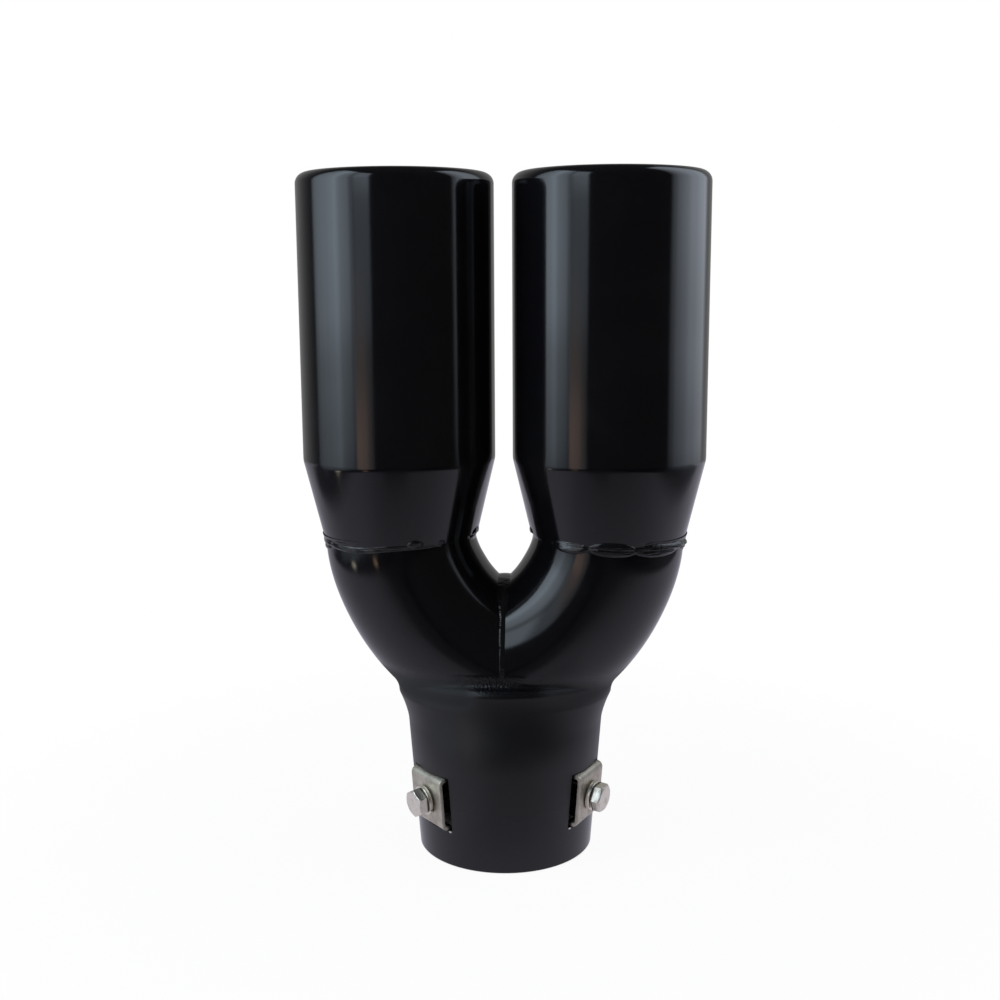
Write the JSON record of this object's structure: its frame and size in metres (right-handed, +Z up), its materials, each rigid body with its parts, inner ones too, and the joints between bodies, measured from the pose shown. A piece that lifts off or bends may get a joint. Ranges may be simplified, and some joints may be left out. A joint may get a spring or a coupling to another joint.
{
  "type": "exhaust tip",
  "caption": "Black steel exhaust tip that clamps over one tailpipe and splits into a pair of round rolled-lip outlets, with folded clips and hexagon clamp bolts around the inlet.",
  "frame": {"origin": "centre of the inlet mouth, in the plane of its rim, which the part stands on", "axes": "+Z up along the inlet from mouth to outlets, the two outlets side by side along X, -Y the front as pictured, with two of the clips"},
  "size_m": [0.159, 0.0843, 0.2693],
  "materials": {
    "black_paint": "gloss",
    "clip_steel": "satin",
    "bolt_steel": "bright"
  },
  "bodies": {
    "tip_body": {"inlet_collar": "black_paint", "left_elbow": "black_paint", "right_elbow": "black_paint", "left_outlet": "black_paint", "right_outlet": "black_paint", "collar_weld": "black_paint", "crotch_weld": "black_paint", "left_outlet_weld": "black_paint", "right_outlet_weld": "black_paint", "front_left_clip": "clip_steel", "front_right_clip": "clip_steel", "rear_clip": "clip_steel"},
    "front_left_washer": {"front_left_lock_washer": "bolt_steel"},
    "front_left_screw": {"front_left_bolt": "bolt_steel"},
    "front_right_washer": {"front_right_lock_washer": "bolt_steel"},
    "front_right_screw": {"front_right_bolt": "bolt_steel"},
    "rear_washer": {"rear_lock_washer": "bolt_steel"},
    "rear_screw": {"rear_bolt": "bolt_steel"}
  },
  "joints": [
    {"name": "front_left_bolt_travel", "type": "slide", "parent": "tip_body", "child": "front_left_washer", "axis": [-0.7749, -0.6275, -0.0767], "range_m": [0, 0.012]},
    {"name": "front_left_bolt_turn", "type": "hinge", "parent": "front_left_washer", "child": "front_left_screw", "pos_m": [-0.02903, -0.0235, 0.026], "axis": [-0.7749, -0.6275, -0.0767], "range_deg": [0, 4320]},
    {"name": "front_right_bolt_travel", "type": "slide", "parent": "tip_body", "child": "front_right_washer", "axis": [0.8884, -0.4527, -0.0767], "range_m": [0, 0.012]},
    {"name": "front_right_bolt_turn", "type": "hinge", "parent": "front_right_washer", "child": "front_right_screw", "pos_m": [0.03328, -0.01696, 0.026], "axis": [0.8884, -0.4527, -0.0767], "range_deg": [0, 4320]},
    {"name": "rear_bolt_travel", "type": "slide", "parent": "tip_body", "child": "rear_washer", "axis": [-0.1042, 0.9916, -0.0767], "range_m": [0, 0.012]},
    {"name": "rear_bolt_turn", "type": "hinge", "parent": "rear_washer", "child": "rear_screw", "pos_m": [-0.0039, 0.03714, 0.026], "axis": [-0.1042, 0.9916, -0.0767], "range_deg": [0, 4320]}
  ],
  "couplings": [
    {"joint": "front_left_bolt_turn", "follows": "front_left_bolt_travel", "rad_per_m": 6283.2},
    {"joint": "front_right_bolt_turn", "follows": "front_right_bolt_travel", "rad_per_m": 6283.2},
    {"joint": "rear_bolt_turn", "follows": "rear_bolt_travel", "rad_per_m": 6283.2}
  ]
}
